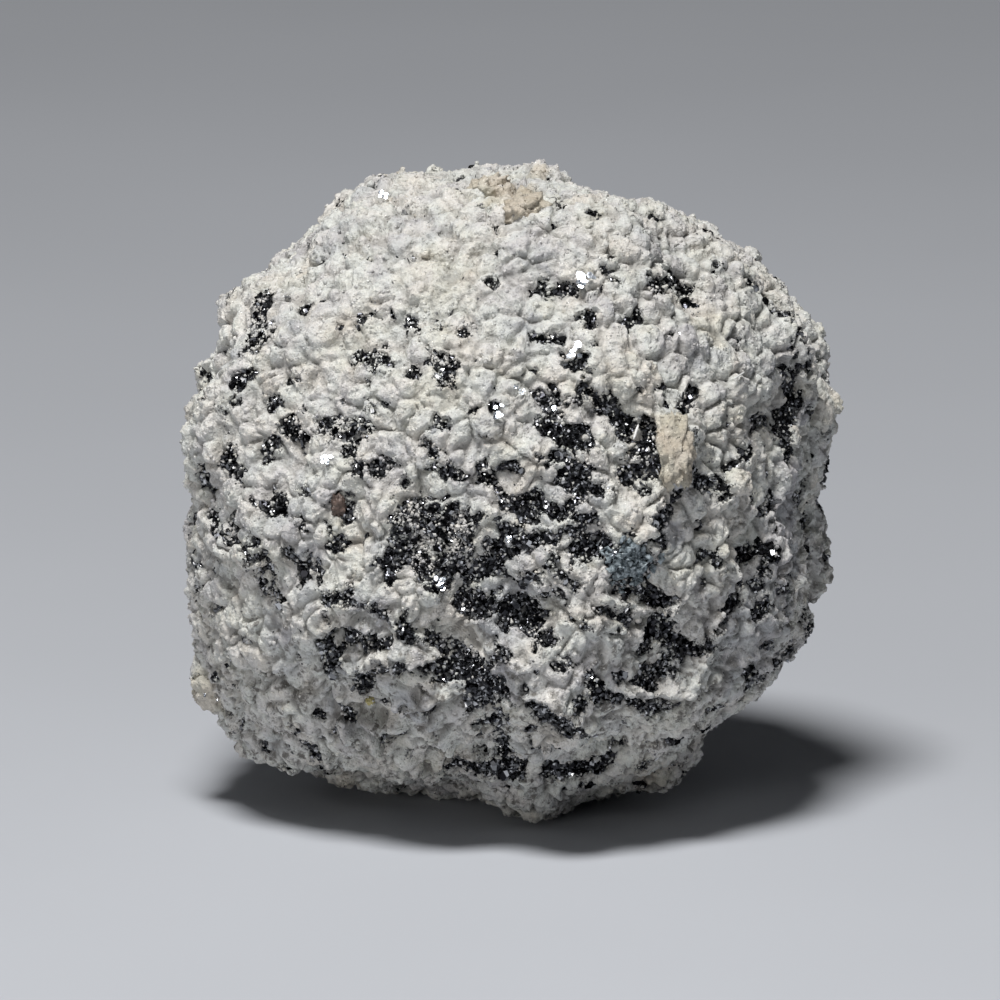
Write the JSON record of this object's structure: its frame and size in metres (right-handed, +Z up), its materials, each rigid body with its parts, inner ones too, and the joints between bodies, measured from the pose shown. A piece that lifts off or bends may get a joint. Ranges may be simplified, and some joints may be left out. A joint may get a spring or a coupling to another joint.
{
  "type": "hematite pseudomorph specimen",
  "caption": "Rounded, many-faced mineral specimen of black hematite under a lumpy pale crust, with bare black hollows, low ledges and a small flat to rest on.",
  "frame": {"origin": "centre of the box that the specimen fills, at the level of the flat it rests on", "axes": "+Z up as it stands, -Y toward the side that the picture shows, +X to that view's right"},
  "size_m": [0.0152, 0.0148, 0.0147],
  "materials": {
    "pale_crust": "dull, granular pale crust with fine sparkling grains",
    "hematite": "black, granular, half metallic, with small glinting crystal faces"
  },
  "bodies": {
    "root": {"pseudomorph": "pale_crust"}
  },
  "joints": []
}
